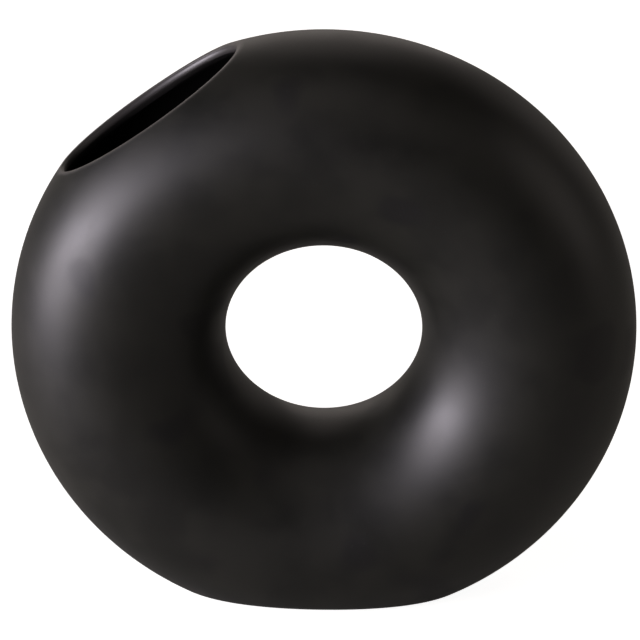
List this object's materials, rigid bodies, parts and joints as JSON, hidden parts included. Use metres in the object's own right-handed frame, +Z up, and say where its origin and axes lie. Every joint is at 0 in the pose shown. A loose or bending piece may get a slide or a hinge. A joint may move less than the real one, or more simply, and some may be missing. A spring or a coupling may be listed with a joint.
{
  "type": "donut vase",
  "caption": "Upright ring-shaped stoneware vase with a flat foot, an open centre and an oval mouth sliced across one shoulder of the hollow ring.",
  "frame": {"origin": "on the surface that the vase stands on, straight below the ring's centre", "axes": "+Z up, +X to the right of someone who faces the front, with the mouth on the -X shoulder, +Y along the ring's axis towards the back"},
  "size_m": [0.28, 0.096, 0.2652],
  "materials": {
    "satin_black_glaze": "satin",
    "glazed_slip": "satin",
    "gloss_black_glaze": "gloss",
    "pad_rubber": "matte"
  },
  "bodies": {
    "root": {"front_shell": "satin_black_glaze", "back_shell": "satin_black_glaze", "inner_seam": "glazed_slip", "outer_seam": "glazed_slip", "glaze_lining": "gloss_black_glaze", "foot_pads": "pad_rubber"}
  },
  "joints": []
}
